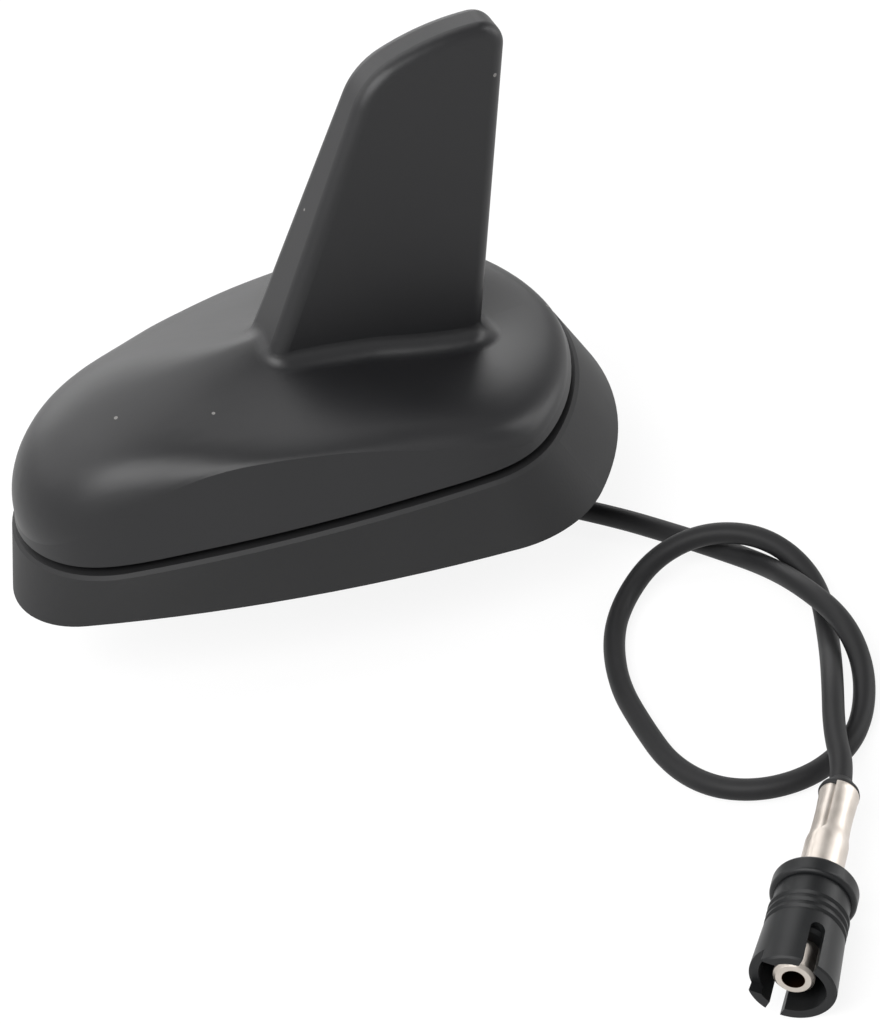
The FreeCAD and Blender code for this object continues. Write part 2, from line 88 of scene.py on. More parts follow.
def finish_called(name):
    """An empty material with its shader and the object's own coordinates."""
    material = bpy.data.materials.new(name)
    material.use_nodes = True
    tree = material.node_tree
    tree.nodes.clear()
    shader = node(tree, "ShaderNodeBsdfPrincipled")
    node(tree, "ShaderNodeOutputMaterial", {"Surface": shader.outputs["BSDF"]})
    place = node(tree, "ShaderNodeTexCoord").outputs["Object"]
    return material, tree, shader, place


def dress(name, material):
    """Gives a CAD node's object its material."""
    for slot in frame["nodes"][name].material_slots:
        slot.material = material


millimetre = 0.001

# Cast aluminium: a dull grey skin with the grain of the die, about half a millimetre across
cast_skin, tree, shader, place = finish_called("aluminium_as_cast")
grain = node(tree, "ShaderNodeTexNoise", {"Vector": place, "Scale": 1 / (0.5 * millimetre), "Detail": 4.0})
cloud = node(tree, "ShaderNodeTexNoise", {"Vector": place, "Scale": 1 / (14 * millimetre), "Detail": 2.0})
tone = node(tree, "ShaderNodeMix",
            {"Factor": cloud.outputs["Fac"], "A": linear("#8e9094"), "B": linear("#b2b3b5")},
            data_type="RGBA")
dull = node(tree, "ShaderNodeMapRange", {"Value": grain.outputs["Fac"], "To Min": 0.42, "To Max": 0.62})
pits = node(tree, "ShaderNodeBump",
            {"Height": grain.outputs["Fac"], "Strength": 0.4, "Distance": 0.06 * millimetre})
tree.links.new(tone.outputs["Result"], shader.inputs["Base Color"])
tree.links.new(dull.outputs["Result"], shader.inputs["Roughness"])
tree.links.new(pits.outputs["Normal"], shader.inputs["Normal"])
shader.inputs["Metallic"].default_value = 1.0
dress("base_plate", cast_skin)


# Mounting stud: zinc-plated steel with a rolled thread, screwed into the plate's boss. Its free end is
# chamfered, and a nut inside the roof pulls the antenna down by it.

# Zinc plate: a bluish silver with a slight yellow cast in places, half bright and half dull
zinc_plate, tree, shader, place = finish_called("steel_zinc_plated")
smear = node(tree, "ShaderNodeTexNoise", {"Vector": place, "Scale": 1 / (3 * millimetre), "Detail": 3.0})
tone = node(tree, "ShaderNodeMix",
            {"Factor": smear.outputs["Fac"], "A": linear("#a9adb2"), "B": linear("#c9c8c2")},
            data_type="RGBA")
dull = node(tree, "ShaderNodeMapRange", {"Value": smear.outputs["Fac"], "To Min": 0.24, "To Max": 0.42})
tree.links.new(tone.outputs["Result"], shader.inputs["Base Color"])
tree.links.new(dull.outputs["Result"], shader.inputs["Roughness"])
shader.inputs["Metallic"].default_value = 1.0


def sized_tree(name, sizes):
    """A geometry tree with a named input for each size, and the sockets of its group input."""
    tree = bpy.data.node_groups.new(name, "GeometryNodeTree")
    tree.interface.new_socket("Geometry", in_out="INPUT", socket_type="NodeSocketGeometry")
    for label in sizes:
        tree.interface.new_socket(label, in_out="INPUT", socket_type="NodeSocketFloat")
    tree.interface.new_socket("Geometry", in_out="OUTPUT", socket_type="NodeSocketGeometry")
    return tree, node(tree, "NodeGroupInput").outputs


def grown(name, points, tree, sizes):
    """A piece that a geometry tree makes on some points, as a plain mesh."""
    seed_mesh = bpy.data.meshes.new(name)
    seed_mesh.from_pydata(points, [], [])
    piece = bpy.data.objects.new(name, seed_mesh)
    bpy.context.collection.objects.link(piece)
    modifier = piece.modifiers.new(name, "NODES")
    modifier.node_group = tree
    for item in tree.interface.items_tree:
        if item.in_out == "INPUT" and item.name in sizes:
            modifier[item.identifier] = float(sizes[item.name])
    settled = piece.evaluated_get(bpy.context.evaluated_depsgraph_get())
    plain_mesh = bpy.data.meshes.new_from_object(settled)
    piece.modifiers.clear()
    piece.data = plain_mesh
    return piece


stud_low, stud_high = (corner.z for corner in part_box("mounting_stud"))
stud_sizes = {
    "Radius": 5.0 * millimetre, "Length": stud_high - stud_low, "Low": stud_low, "Pitch": 1.5 * millimetre,
    "Depth": 0.85 * millimetre, "Chamfer": 1.0 * millimetre, "Thread end": -1.2 * millimetre,
    "Shank": 4.3 * millimetre, "Seat": 0.6 * millimetre,
}
stud_facets, stud_rows, stud_end_rings = 64, 240, 3
crest, root = 0.06, 0.44
tree, size = sized_tree("stud_with_thread", stud_sizes)
middle = node(tree, "ShaderNodeMath", {0: size["Length"], 1: 0.5, 2: size["Low"]}, operation="MULTIPLY_ADD")
centre = node(tree, "ShaderNodeCombineXYZ", {"Z": middle.outputs[0]})
bar = node(tree, "GeometryNodeMeshCylinder",
           {"Vertices": stud_facets, "Side Segments": stud_rows, "Fill Segments": stud_end_rings,
            "Radius": size["Radius"], "Depth": size["Length"]})
bar = node(tree, "GeometryNodeTransform",
           {"Geometry": bar.outputs["Mesh"], "Translation": centre.outputs[0]})
at = node(tree, "ShaderNodeSeparateXYZ", {0: node(tree, "GeometryNodeInputPosition").outputs[0]})
angle = node(tree, "ShaderNodeMath", {0: at.outputs["Y"], 1: at.outputs["X"]}, operation="ARCTAN2")
turns = node(tree, "ShaderNodeMath", {0: angle.outputs[0], 1: 2 * math.pi}, operation="DIVIDE")
rows = node(tree, "ShaderNodeMath", {0: at.outputs["Z"], 1: size["Pitch"]}, operation="DIVIDE")
wound = node(tree, "ShaderNodeMath", {0: rows.outputs[0], 1: turns.outputs[0]}, operation="SUBTRACT")
tooth = node(tree, "ShaderNodeMath", {0: wound.outputs[0], 1: 0.5}, operation="PINGPONG")
flank = node(tree, "ShaderNodeMapRange",
             {"Value": tooth.outputs[0], "From Min": crest, "From Max": root, "To Max": size["Depth"]})
run_out = node(tree, "ShaderNodeMath", {0: size["Thread end"], 1: size["Pitch"]}, operation="SUBTRACT")
fade = node(tree, "ShaderNodeMapRange",
            {"Value": at.outputs["Z"], "From Min": run_out.outputs[0], "From Max": size["Thread end"],
             "To Min": 1.0, "To Max": 0.0})
cut = node(tree, "ShaderNodeMath", {0: flank.outputs[0], 1: fade.outputs[0]}, operation="MULTIPLY")
bevel_top = node(tree, "ShaderNodeMath", {0: size["Low"], 1: size["Chamfer"]}, operation="ADD")
bevel = node(tree, "ShaderNodeMapRange",
             {"Value": at.outputs["Z"], "From Min": size["Low"], "From Max": bevel_top.outputs[0],
              "To Min": size["Chamfer"], "To Max": 0.0})
deepest = node(tree, "ShaderNodeMath", {0: cut.outputs[0], 1: bevel.outputs[0]}, operation="MAXIMUM")
left = node(tree, "ShaderNodeMath", {0: size["Radius"], 1: deepest.outputs[0]}, operation="SUBTRACT")
seated = node(tree, "ShaderNodeMath", {0: at.outputs["Z"], 1: size["Seat"]}, operation="GREATER_THAN")
radius = node(tree, "ShaderNodeMix",
              {"Factor": seated.outputs[0], "A": left.outputs[0], "B": size["Shank"]})
share = node(tree, "ShaderNodeMath", {0: radius.outputs["Result"], 1: size["Radius"]}, operation="DIVIDE")
x = node(tree, "ShaderNodeMath", {0: at.outputs["X"], 1: share.outputs[0]}, operation="MULTIPLY")
y = node(tree, "ShaderNodeMath", {0: at.outputs["Y"], 1: share.outputs[0]}, operation="MULTIPLY")
rolled = node(tree, "ShaderNodeCombineXYZ", {"X": x.outputs[0], "Y": y.outputs[0], "Z": at.outputs["Z"]})
bar = node(tree, "GeometryNodeSetPosition", {"Geometry": bar.outputs[0], "Position": rolled.outputs[0]})
bar = node(tree, "GeometryNodeSetShadeSmooth", {"Geometry": bar.outputs[0]})
bar = node(tree, "GeometryNodeSetMaterial", {"Geometry": bar.outputs[0], "Material": zinc_plate})
node(tree, "NodeGroupOutput", {0: bar.outputs[0]})
stud = grown("threaded_stud", [(0, 0, 0)], tree, stud_sizes)
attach(stud, "root")
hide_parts("mounting_stud")


# Cover screws: four zinc-plated pan-head screws with a cross recess. They come from below through the
# plate and bite into the bosses inside the cover, and the gasket leaves a hole for each head.

screw_nodes = ["cover_screw_%d" % k for k in (1, 2, 3, 4)]
low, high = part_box(screw_nodes[0])
head_height = 1.8 * millimetre
screw_sizes = {
    "Head radius": (high.x - low.x) / 2, "Head height": head_height, "Crown": 0.5 * millimetre,
    "Shank radius": 1.3 * millimetre, "Shank length": high.z - low.z - head_height,
    "Recess length": 2.9 * millimetre, "Recess width": 0.62 * millimetre, "Recess depth": 1.1 * millimetre,
}
head_facets, head_rows, head_end_rings, shank_facets = 48, 6, 8, 24
crown_power = 4.0
tree, size = sized_tree("pan_head_screws", screw_sizes)
half_head = node(tree, "ShaderNodeMath", {0: size["Head height"], 1: 0.5}, operation="MULTIPLY")
head = node(tree, "GeometryNodeMeshCylinder",
            {"Vertices": head_facets, "Side Segments": head_rows, "Fill Segments": head_end_rings,
             "Radius": size["Head radius"], "Depth": size["Head height"]})
lifted = node(tree, "ShaderNodeCombineXYZ", {"Z": half_head.outputs[0]})
head = node(tree, "GeometryNodeTransform",
            {"Geometry": head.outputs["Mesh"], "Translation": lifted.outputs[0]})
at = node(tree, "ShaderNodeSeparateXYZ", {0: node(tree, "GeometryNodeInputPosition").outputs[0]})
out = node(tree, "ShaderNodeCombineXYZ", {"X": at.outputs["X"], "Y": at.outputs["Y"]})
out = node(tree, "ShaderNodeVectorMath", {0: out.outputs[0]}, operation="LENGTH")
share = node(tree, "ShaderNodeMath", {0: out.outputs["Value"], 1: size["Head radius"]}, operation="DIVIDE")
sphere = node(tree, "ShaderNodeMath", {0: share.outputs[0], 1: crown_power}, operation="POWER")
drop = node(tree, "ShaderNodeMath", {0: sphere.outputs[0], 1: size["Crown"]}, operation="MULTIPLY")
deep = node(tree, "ShaderNodeMapRange",
            {"Value": at.outputs["Z"], "From Max": size["Head height"], "To Min": 1.0, "To Max": 0.0})
drop = node(tree, "ShaderNodeMath", {0: drop.outputs[0], 1: deep.outputs[0]}, operation="MULTIPLY")
drop = node(tree, "ShaderNodeCombineXYZ", {"Z": drop.outputs[0]})
head = node(tree, "GeometryNodeSetPosition", {"Geometry": head.outputs[0], "Offset": drop.outputs[0]})
deep = node(tree, "ShaderNodeMath", {0: size["Recess depth"], 1: 2.0}, operation="MULTIPLY")
bar_a = node(tree, "ShaderNodeCombineXYZ",
             {"X": size["Recess length"], "Y": size["Recess width"], "Z": deep.outputs[0]})
bar_b = node(tree, "ShaderNodeCombineXYZ",
             {"X": size["Recess width"], "Y": size["Recess length"], "Z": deep.outputs[0]})
bar_a = node(tree, "GeometryNodeMeshCube", {"Size": bar_a.outputs[0]})
bar_b = node(tree, "GeometryNodeMeshCube", {"Size": bar_b.outputs[0]})
head = node(tree, "GeometryNodeMeshBoolean",
            {"Mesh 1": head.outputs[0], "Mesh 2": bar_a.outputs["Mesh"]}, operation="DIFFERENCE")
head = node(tree, "GeometryNodeMeshBoolean",
            {"Mesh 1": head.outputs["Mesh"], "Mesh 2": bar_b.outputs["Mesh"]}, operation="DIFFERENCE")
shank = node(tree, "GeometryNodeMeshCylinder",
             {"Vertices": shank_facets, "Radius": size["Shank radius"], "Depth": size["Shank length"]})
half_shank = node(tree, "ShaderNodeMath", {0: size["Shank length"], 1: 0.5, 2: size["Head height"]},
                  operation="MULTIPLY_ADD")
lifted = node(tree, "ShaderNodeCombineXYZ", {"Z": half_shank.outputs[0]})
shank = node(tree, "GeometryNodeTransform",
             {"Geometry": shank.outputs["Mesh"], "Translation": lifted.outputs[0]})
screw = node(tree, "GeometryNodeJoinGeometry", {0: head.outputs["Mesh"]})
tree.links.new(shank.outputs[0], screw.inputs[0])
set_out = node(tree, "GeometryNodeInstanceOnPoints",
               {"Points": size["Geometry"], "Instance": screw.outputs[0]})
plain = node(tree, "GeometryNodeRealizeInstances", {0: set_out.outputs[0]})
coated = node(tree, "GeometryNodeSetMaterial", {"Geometry": plain.outputs[0], "Material": zinc_plate})
node(tree, "NodeGroupOutput", {0: coated.outputs[0]})
places = []
for name in screw_nodes:
    low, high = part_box(name)
    places.append(((low.x + high.x) / 2, (low.y + high.y) / 2, low.z))
screws = grown("cross_recess_screws", places, tree, screw_sizes)
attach(screws, "root")
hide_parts(*screw_nodes)


# Base gasket: one soft EPDM rubber moulding with a flared wall and a lip round the cover's skirt. It is
# clamped between the plate and the roof. The grommet of the lead is of the same rubber.

# Rubber: a near-black that scatters light softly, with a faint grey bloom in patches
gasket_rubber, tree, shader, place = finish_called("rubber_epdm_moulded")
grain = node(tree, "ShaderNodeTexNoise", {"Vector": place, "Scale": 1 / (0.45 * millimetre), "Detail": 3.0})
bloom = node(tree, "ShaderNodeTexNoise", {"Vector": place, "Scale": 1 / (22 * millimetre), "Detail": 4.0})
tone = node(tree, "ShaderNodeMix",
            {"Factor": bloom.outputs["Fac"], "A": linear("#161617"), "B": linear("#202021")},
            data_type="RGBA")
dull = node(tree, "ShaderNodeMapRange", {"Value": bloom.outputs["Fac"], "To Min": 0.5, "To Max": 0.68})
skin = node(tree, "ShaderNodeBump",
            {"Height": grain.outputs["Fac"], "Strength": 0.35, "Distance": 0.04 * millimetre})
tree.links.new(tone.outputs["Result"], shader.inputs["Base Color"])
tree.links.new(dull.outputs["Result"], shader.inputs["Roughness"])
tree.links.new(skin.outputs["Normal"], shader.inputs["Normal"])
shader.inputs["Specular IOR Level"].default_value = 0.34
dress("base_gasket", gasket_rubber)
dress("cable_grommet", gasket_rubber)


# Amplifier: a glass-epoxy board with solder mask on the posts, a tinned can over its circuit, and an
# upright radiator board in the fin, held by a tinned clip. All of it is closed in by the cover.

# Solder mask: glossy dark green, with the weave of the glass cloth showing through
solder_mask, tree, shader, place = finish_called("board_solder_mask")
weave = node(tree, "ShaderNodeTexWave", {"Vector": place, "Scale": 1 / (6 * millimetre), "Distortion": 1.5})
tone = node(tree, "ShaderNodeMix",
            {"Factor": weave.outputs["Fac"], "A": linear("#0f3a1e"), "B": linear("#1c5630")},
            data_type="RGBA")
tree.links.new(tone.outputs["Result"], shader.inputs["Base Color"])
shader.inputs["Roughness"].default_value = 0.35
dress("circuit_board", solder_mask)
dress("fin_radiator", solder_mask)

# Tinned sheet: a pale even silver, duller where it was handled
tinned_sheet, tree, shader, place = finish_called("steel_tinned")
smear = node(tree, "ShaderNodeTexNoise", {"Vector": place, "Scale": 1 / (2 * millimetre), "Detail": 3.0})
dull = node(tree, "ShaderNodeMapRange", {"Value": smear.outputs["Fac"], "To Min": 0.25, "To Max": 0.45})
tree.links.new(dull.outputs["Result"], shader.inputs["Roughness"])
shader.inputs["Base Color"].default_value = linear("#c2c2c0")
shader.inputs["Metallic"].default_value = 1.0
dress("amplifier_shield", tinned_sheet)
dress("radiator_clip", tinned_sheet)


# Cover: dome and fin in one hollow ABS moulding, dyed black, with the fine even grain of an eroded mould.
# Its skirt plugs into the gasket's lip, and four screws from below hold it on the plate.

# Black ABS: a satin black whose broad soft highlights show the curves, with a few pale specks of dust.
# Their radius is a share of their spacing, which is in millimetres.
speck_spacing, speck_radius, bare_share = 7.0, 0.05, 0.62
cover_plastic, tree, shader, place = finish_called("abs_satin_black")
grain = node(tree, "ShaderNodeTexNoise", {"Vector": place, "Scale": 1 / (0.4 * millimetre), "Detail": 2.0})
cloud = node(tree, "ShaderNodeTexNoise", {"Vector": place, "Scale": 1 / (30 * millimetre), "Detail": 3.0})
specks = node(tree, "ShaderNodeTexVoronoi", {"Vector": place, "Scale": 1 / (speck_spacing * millimetre)})
dust = node(tree, "ShaderNodeMath", {0: specks.outputs["Distance"], 1: speck_radius}, operation="LESS_THAN")
chance = node(tree, "ShaderNodeSeparateColor", {"Color": specks.outputs["Color"]})
rare = node(tree, "ShaderNodeMath", {0: chance.outputs["Red"], 1: bare_share}, operation="GREATER_THAN")
lies = node(tree, "ShaderNodeMath", {0: dust.outputs[0], 1: rare.outputs[0]}, operation="MULTIPLY")
plain = node(tree, "ShaderNodeMix",
             {"Factor": cloud.outputs["Fac"], "A": linear("#0f0f11"), "B": linear("#151517")},
             data_type="RGBA")
tone = node(tree, "ShaderNodeMix",
            {"Factor": lies.outputs[0], "A": plain.outputs["Result"], "B": linear("#6e6c6a")},
            data_type="RGBA")
dull = node(tree, "ShaderNodeMapRange", {"Value": cloud.outputs["Fac"], "To Min": 0.4, "To Max": 0.48})
skin = node(tree, "ShaderNodeBump",
            {"Height": grain.outputs["Fac"], "Strength": 0.25, "Distance": 0.02 * millimetre})
tree.links.new(tone.outputs["Result"], shader.inputs["Base Color"])
tree.links.new(dull.outputs["Result"], shader.inputs["Roughness"])
tree.links.new(skin.outputs["Normal"], shader.inputs["Normal"])
shader.inputs["Specular IOR Level"].default_value = 0.45


def eased(value, start, end):
    """Smooth step from 0 at start to 1 at end."""
    share = min(1.0, max(0.0, (value - start) / (end - start)))
    return share * share * (3 - 2 * share)


# The dome's top is fuller ahead of the fin than the loft gives, so that its outline stays convex. The copy
# keeps the solid's own shading normals, tilted by the slope of the fill.
fill_height, fill_centre, fill_reach = 1.8, -29, 17
fade_start, fade_end = -16, 2
band_low, band_high = 18, 28


def fill(x, z):
    """How far the dome's top stands above the loft at a place, in mm."""
    ahead_of_fin = math.exp(-((x - fill_centre) / fill_reach) ** 2) * (1 - eased(x, fade_start, fade_end))
    return fill_height * eased(z, band_low, band_high) * ahead_of_fin


loose = frame["nodes"]["fin_cover"].data
shell = bmesh.new()
shell.from_mesh(loose)
bmesh.ops.remove_doubles(shell, verts=shell.verts, dist=0.001 * millimetre)
cover_mesh = bpy.data.meshes.new("moulded_cover")
shell.to_mesh(cover_mesh)
shell.free()
cover_mesh.materials.append(cover_plastic)
step = 0.05
shading = []
for corner, bend in zip(cover_mesh.loops, loose.corner_normals):
    x, _, z = cover_mesh.vertices[corner.vertex_index].co / millimetre
    along = (fill(x + step, z) - fill(x - step, z)) / (2 * step)
    rising = (fill(x, z + step) - fill(x, z - step)) / (2 * step)
    slope = Vector((along, 0.0, rising))
    shading.append((bend.vector - slope * bend.vector.z / (1 + rising)).normalized())
for vertex in cover_mesh.vertices:
    x, _, z = vertex.co / millimetre
    vertex.co.z += fill(x, z) * millimetre
cover_mesh.normals_split_custom_set(shading)
cover = bpy.data.objects.new("moulded_cover", cover_mesh)
bpy.context.collection.objects.link(cover)
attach(cover, "root")
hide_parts("fin_cover")


# Lead: thin coax with a smooth black PVC jacket. It leaves the grommet under the plate, drops to the
# ground, lies in one loose overhand knot and ends in the crimped sleeve of the plug.

ground = -18.0
cable_diameter = 3.7
rest = cable_diameter / 2
lift = 4.6
aim = Vector((11.0, -6.2, -9.0)).normalized()
gland = Vector((15.0, 0.0, -1.0))
snout_length = 5.0
straight_run = 13.0
exit_point = gland + aim * snout_length
plug_heading = math.radians(234.8)
plug_axis = Vector((math.cos(plug_heading), math.sin(plug_heading), 0.0))
plug_radius = 7.15
plug_point = Vector((46.5, -115.3, ground + plug_radius))
lead_in, in_ferrule = 5.5, 2.5
lying = (
    (45.0, -21.5, 0.0), (53.1, -34.4, 0.0), (57.5, -41.9, 0.0), (61.9, -51.0, 0.14), (63.4, -63.5, 1.0),
    (65.7, -75.6, 1.0), (64.7, -85.3, 0.44), (60.3, -94.1, 0.0), (54.2, -100.5, 0.0), (46.2, -103.1, 0.0),
    (38.0, -101.4, 0.0), (31.6, -95.9, 0.0), (28.2, -87.0, 0.0), (28.1, -75.8, 0.0), (28.8, -63.9, 0.0),
    (32.7, -52.0, 0.0), (38.4, -44.3, 0.08), (46.0, -40.6, 0.63), (54.6, -41.4, 1.0), (61.9, -46.3, 1.0),
    (66.1, -53.3, 0.67), (67.2, -62.1, 0.04), (62.9, -74.8, 0.0), (57.8, -88.9, 1.1), (52.3, -101.1, 1.1),
)
route = [exit_point, exit_point + aim * straight_run]
route += [Vector((x, y, ground + rest + lift * h)) for x, y, h in lying]
route += [plug_point - plug_axis * lead_in, plug_point + plug_axis * in_ferrule]

lead_line = bpy.data.curves.new("antenna_lead", "CURVE")
lead_line.dimensions = "3D"
spline = lead_line.splines.new("NURBS")
spline.points.add(len(route) - 1)
for point, at in zip(spline.points, route):
    point.co = (*(at * millimetre), 1.0)
spline.order_u = 3
spline.use_endpoint_u = True
spline.resolution_u = 12
lead_line.bevel_depth = cable_diameter / 2 * millimetre
lead_line.bevel_resolution = 6
lead_line.use_fill_caps = True
lead = bpy.data.objects.new("antenna_lead", lead_line)
bpy.context.collection.objects.link(lead)

# PVC jacket: a soft black with one dull streak of light along the lead
jacket, tree, shader, place = finish_called("pvc_jacket_black")
grain = node(tree, "ShaderNodeTexNoise", {"Vector": place, "Scale": 1 / (0.6 * millimetre), "Detail": 2.0})
cloud = node(tree, "ShaderNodeTexNoise", {"Vector": place, "Scale": 1 / (9 * millimetre), "Detail": 2.0})
tone = node(tree, "ShaderNodeMix",
            {"Factor": cloud.outputs["Fac"], "A": linear("#161617"), "B": linear("#202021")},
            data_type="RGBA")
dull = node(tree, "ShaderNodeMapRange", {"Value": cloud.outputs["Fac"], "To Min": 0.48, "To Max": 0.58})
skin = node(tree, "ShaderNodeBump",
            {"Height": grain.outputs["Fac"], "Strength": 0.2, "Distance": 0.03 * millimetre})
tree.links.new(tone.outputs["Result"], shader.inputs["Base Color"])
tree.links.new(dull.outputs["Result"], shader.inputs["Roughness"])
tree.links.new(skin.outputs["Normal"], shader.inputs["Normal"])
shader.inputs["Specular IOR Level"].default_value = 0.22
lead_line.materials.append(jacket)
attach(lead, "root")
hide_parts("antenna_cable")


# Ferrule and contact: tinned brass. The ferrule is a stamped strip, rolled to a sleeve whose edge laps over
# itself, and crimped on the lead. The jacket swells where the crimp pinches it. The contact is a turned
# socket.

# Tinned brass: a warm satin silver. Inside the contact's bore the colour is painted a dark brown,
# as painted shade in the hole.
tinned_brass, tree, shader, place = finish_called("brass_tinned")
smear = node(tree, "ShaderNodeTexNoise", {"Vector": place, "Scale": 1 / (2.5 * millimetre), "Detail": 4.0})
tone = node(tree, "ShaderNodeMix",
            {"Factor": smear.outputs["Fac"], "A": linear("#bdb4aa"), "B": linear("#d8d1ca")},
            data_type="RGBA")
dull = node(tree, "ShaderNodeMapRange", {"Value": smear.outputs["Fac"], "To Min": 0.36, "To Max": 0.5})
contact_bore = 3.6
bore_edge = 0.05
# Painted shade: within the contact's bore the colour is mixed to dark brown, standing in for the shade in
# the hole.
offset = node(tree, "ShaderNodeVectorMath", {0: place, 1: plug_point * millimetre}, operation="SUBTRACT")
across = node(tree, "ShaderNodeVectorMath",
              {0: offset.outputs["Vector"], 1: plug_axis}, operation="CROSS_PRODUCT")
away = node(tree, "ShaderNodeVectorMath", {0: across.outputs["Vector"]}, operation="LENGTH")
bore_painted_shade = node(tree, "ShaderNodeMath",
              {0: away.outputs["Value"], 1: (contact_bore / 2 + bore_edge) * millimetre},
              operation="LESS_THAN")
tone = node(tree, "ShaderNodeMix",
            {"Factor": bore_painted_shade.outputs[0], "A": tone.outputs["Result"], "B": linear("#4a3020")},
            data_type="RGBA")
tree.links.new(tone.outputs["Result"], shader.inputs["Base Color"])
tree.links.new(dull.outputs["Result"], shader.inputs["Roughness"])
shader.inputs["Metallic"].default_value = 1.0
dress("contact_tube", tinned_brass)

plug_up = Vector((0.0, 0.0, 1.0))
plug_side = plug_up.cross(plug_axis)


def by_plug(radius, angle, along):
    """A point in metres, from its radius, its angle and its way along the plug, in millimetres."""
    round_axis = plug_side * (radius * math.cos(angle)) + plug_up * (radius * math.sin(angle))
    return (plug_point + round_axis + plug_axis * along) * millimetre


sleeve_radius = 3.05
root_radius = 3.42
sheet = 0.38
sheet_wall = 0.45
groove_depth = 0.4
groove_width = 0.8
pinch = 0.14
flare, flare_length = 0.16, 1.4
lip_round, lip_length = 0.12, 0.3
widening = (9.2, 11.8)
seam_shift = (10.2, 11.4)
lap_end = (19.6, 21.2)
crimp_start, crimp_end = (2.2, 4.4), (6.8, 9.0)
mouth_depth = 3.0
seam_neck = math.radians(84)
seam_root = math.radians(101)
columns = 96
stations = (0.0, 0.15, 0.4, 0.8, 1.4, 2.2, 3.2, 4.4, 5.6, 6.8, 8.0, 9.0, 9.6, 10.2, 10.8, 11.4, 12.0, 12.8,
            14.2, 16.0, 18.0, 19.6, 20.4, 21.2)
ferrule_mesh = bmesh.new()
rings = []
for along in stations:
    wide = eased(along, *widening)
    seam = seam_neck + (seam_root - seam_neck) * eased(along, *seam_shift)
    lap = sheet * (1 - eased(along, *lap_end))
    crimped = eased(along, *crimp_start) * (1 - eased(along, *crimp_end))
    ring = []
    for k in range(columns + 1):
        share = k / columns
        angle = seam - 2 * math.pi * share
        radius = sleeve_radius + (root_radius - sleeve_radius) * wide + lap * (1 - share) ** 2
        under_flap = (1 - share) * 2 * math.pi * radius
        radius -= groove_depth * math.exp(-(under_flap / groove_width) ** 2) * lap / sheet
        radius += flare * (1 - eased(along, 0.0, flare_length))
        radius -= lip_round * (1 - eased(along, 0.0, lip_length))
        radius -= pinch * crimped * math.cos(2 * angle) ** 2
        ring.append(ferrule_mesh.verts.new(by_plug(radius, angle, along)))
    rings.append(ring)
for lower, upper in zip(rings, rings[1:]):
    for k in range(columns + 1):
        n = (k + 1) % (columns + 1)
        ferrule_mesh.faces.new((lower[k], lower[n], upper[n], upper[k]))
mouth_radius = sleeve_radius - sheet_wall
mouth = []
for depth in (0.0, mouth_depth):
    angles = [seam_neck - 2 * math.pi * k / columns for k in range(columns + 1)]
    mouth.append([ferrule_mesh.verts.new(by_plug(mouth_radius, angle, depth)) for angle in angles])
for k in range(columns + 1):
    n = (k + 1) % (columns + 1)
    ferrule_mesh.faces.new((rings[0][n], rings[0][k], mouth[0][k], mouth[0][n]))
    ferrule_mesh.faces.new((mouth[0][n], mouth[0][k], mouth[1][k], mouth[1][n]))
ferrule_mesh.faces.new(mouth[1])
ferrule_mesh.faces.new(rings[-1])
bmesh.ops.remove_doubles(ferrule_mesh, verts=ferrule_mesh.verts, dist=1e-7)
bmesh.ops.recalc_face_normals(ferrule_mesh, faces=ferrule_mesh.faces)
sleeve_data = bpy.data.meshes.new("lapped_ferrule")
ferrule_mesh.to_mesh(sleeve_data)
ferrule_mesh.free()
sleeve_data.materials.append(tinned_brass)
sleeve_data.shade_smooth()
sleeve_data.set_sharp_from_angle(angle=math.radians(40))
ferrule = bpy.data.objects.new("lapped_ferrule", sleeve_data)
bpy.context.collection.objects.link(ferrule)
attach(ferrule, "root")
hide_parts("crimp_ferrule")

swell_mesh = bmesh.new()
outline = ((1.70, -3.0), (1.90, -2.8), (2.15, -2.2), (2.70, -1.5), (3.20, -0.9), (3.38, -0.3), (3.30, 0.1),
           (2.90, 0.3), (2.50, 0.5), (1.70, 0.5))
columns = 48
rings = []
for radius, along in outline:
    angles = [2 * math.pi * k / columns for k in range(columns)]
    rings.append([swell_mesh.verts.new(by_plug(radius, angle, along)) for angle in angles])
for lower, upper in zip(rings, rings[1:] + rings[:1]):
    for k in range(columns):
        n = (k + 1) % columns
        swell_mesh.faces.new((lower[k], lower[n], upper[n], upper[k]))
bmesh.ops.recalc_face_normals(swell_mesh, faces=swell_mesh.faces)
swell_data = bpy.data.meshes.new("jacket_swell")
swell_mesh.to_mesh(swell_data)
swell_mesh.free()
swell_data.materials.append(jacket)
swell_data.shade_smooth()
swell = bpy.data.objects.new("jacket_swell", swell_data)
bpy.context.collection.objects.link(swell)
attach(swell, "root")


# Plug housing: moulded black nylon with a collar, three ribs and a slotted shroud. It sits on the ferrule's
# wide end, and an insulator of the same nylon holds the contact in it.

# Black nylon: a cool black with a tighter shine than the cover
plug_plastic, tree, shader, place = finish_called("nylon_black_gloss")
flow = node(tree, "ShaderNodeTexNoise", {"Vector": place, "Scale": 1 / (4 * millimetre), "Detail": 3.0})
tone = node(tree, "ShaderNodeMix",
            {"Factor": flow.outputs["Fac"], "A": linear("#111213"), "B": linear("#1a1b1c")},
            data_type="RGBA")
dull = node(tree, "ShaderNodeMapRange", {"Value": flow.outputs["Fac"], "To Min": 0.34, "To Max": 0.44})
tree.links.new(tone.outputs["Result"], shader.inputs["Base Color"])
tree.links.new(dull.outputs["Result"], shader.inputs["Roughness"])
shader.inputs["Specular IOR Level"].default_value = 0.26
dress("plug_housing", plug_plastic)
dress("plug_insulator", plug_plastic)

on_lead = [frame["nodes"][name] for name in ("plug_housing", "plug_insulator", "contact_tube")]
on_lead += [ferrule, swell]


# Stage: a plain white floor at the level of the stud's end with a low wall far round it, soft lamps mostly
# from the left, above and behind, as the photo's tones show them, and the photo's camera.

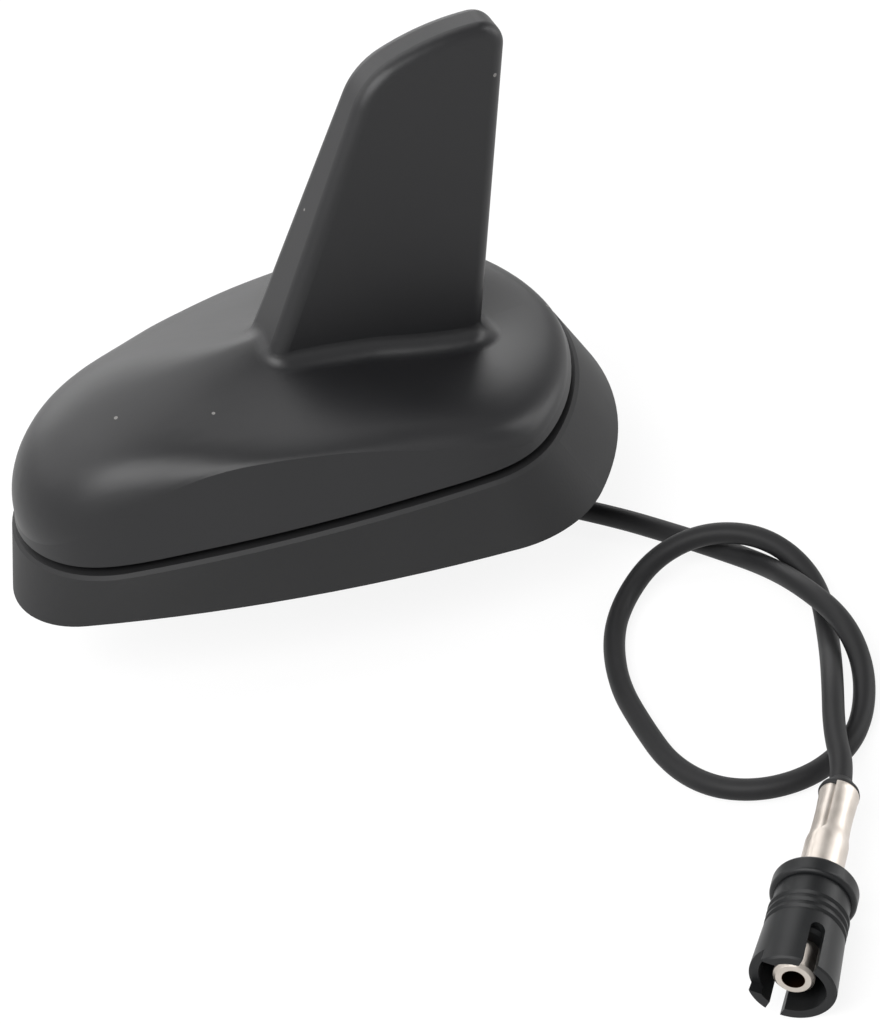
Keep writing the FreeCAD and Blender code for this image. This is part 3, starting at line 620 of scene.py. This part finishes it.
reach = 3.0
wall_height = 1.6
level = ground * millimetre
facets = 96
floor_mesh = bpy.data.meshes.new("floor")
turns = [2 * math.pi * k / facets for k in range(facets)]
sides = [(reach * math.cos(turn), reach * math.sin(turn)) for turn in turns]
corners = [(x, y, level) for x, y in sides] + [(x, y, level + wall_height) for x, y in sides]
walls = [(k, k + facets, (k + 1) % facets + facets, (k + 1) % facets) for k in range(facets)]
floor_mesh.from_pydata(corners, [], [tuple(range(facets))] + walls)
floor = bpy.data.objects.new("floor", floor_mesh)
bpy.context.collection.objects.link(floor)
# White paper: white to the camera and in reflections, with the object's soft shadow on it
white, tree, shader, place = finish_called("paper_white")
shader.inputs["Base Color"].default_value = linear("#e6e6e6")
shader.inputs["Roughness"].default_value = 1.0
shader.inputs["Specular IOR Level"].default_value = 0.0
ray = node(tree, "ShaderNodeLightPath")
seen = node(tree, "ShaderNodeMath",
            {0: ray.outputs["Is Camera Ray"], 1: ray.outputs["Is Glossy Ray"]}, operation="MAXIMUM")
seen = node(tree, "ShaderNodeMath",
            {0: seen.outputs[0], 1: ray.outputs["Is Transmission Ray"]}, operation="MAXIMUM")
shade = node(tree, "ShaderNodeBsdfDiffuse", {"Color": linear("#606060")})
glow = node(tree, "ShaderNodeEmission", {"Strength": 0.88})
lit = node(tree, "ShaderNodeAddShader", {0: shade.outputs[0], 1: glow.outputs[0]})
both = node(tree, "ShaderNodeMixShader", {0: seen.outputs[0], 1: shader.outputs[0], 2: lit.outputs[0]})
for out in tree.nodes:
    if out.type == "OUTPUT_MATERIAL":
        tree.links.new(both.outputs[0], out.inputs["Surface"])
floor_mesh.materials.append(white)

world = bpy.data.worlds.new("studio")
bpy.context.scene.world = world
world.use_nodes = True
tree = world.node_tree
tree.nodes.clear()
sky = node(tree, "ShaderNodeBackground", {"Color": (1, 1, 1, 1), "Strength": 0.15})
node(tree, "ShaderNodeOutputWorld", {"Surface": sky.outputs[0]})

lamp_target = Vector((0, -0.03, 0.02))
for name, at, wide, high, watts in (
    ("lamp_over", (0.02, 0.47, 0.82), 0.80, 0.70, 3.8),
    ("lamp_left", (-0.42, -0.42, 0.74), 0.80, 0.60, 10.0),
    ("lamp_far", (-0.62, 0.42, 0.66), 0.80, 0.70, 3.2),
    ("lamp_back", (0.10, 1.00, 0.33), 1.10, 0.40, 3.6),
    ("lamp_right", (0.90, -0.08, 0.13), 0.50, 0.22, 1.4),
    ("lamp_edge", (0.72, -0.18, 0.52), 0.20, 0.32, 1.8),
):
    lamp = bpy.data.lights.new(name, "AREA")
    lamp.shape = "RECTANGLE"
    lamp.size = wide
    lamp.size_y = high
    lamp.energy = watts
    holder = bpy.data.objects.new(name, lamp)
    holder.location = at
    holder.rotation_euler = (lamp_target - Vector(at)).to_track_quat("-Z", "Y").to_euler()
    holder.visible_camera = False
    bpy.context.collection.objects.link(holder)

lens = bpy.data.cameras.new("photo_view")
lens.sensor_width = 36.0
lens.lens = 175.78
lens.clip_start = 0.01
camera = bpy.data.objects.new("photo_view", lens)
right = Vector((0.908365, -0.361283, -0.210587))
up = Vector((0.384746, 0.524744, 0.759352))
back = Vector((-0.163837, -0.770791, 0.615661))
turn = Matrix((right, up, back)).transposed().to_4x4()
camera_place = (-0.12394, -0.68136, 0.52602)
camera.matrix_world = Matrix.Translation(camera_place) @ turn
bpy.context.collection.objects.link(camera)
bpy.context.scene.camera = camera
bpy.context.scene.view_settings.view_transform = "Standard"
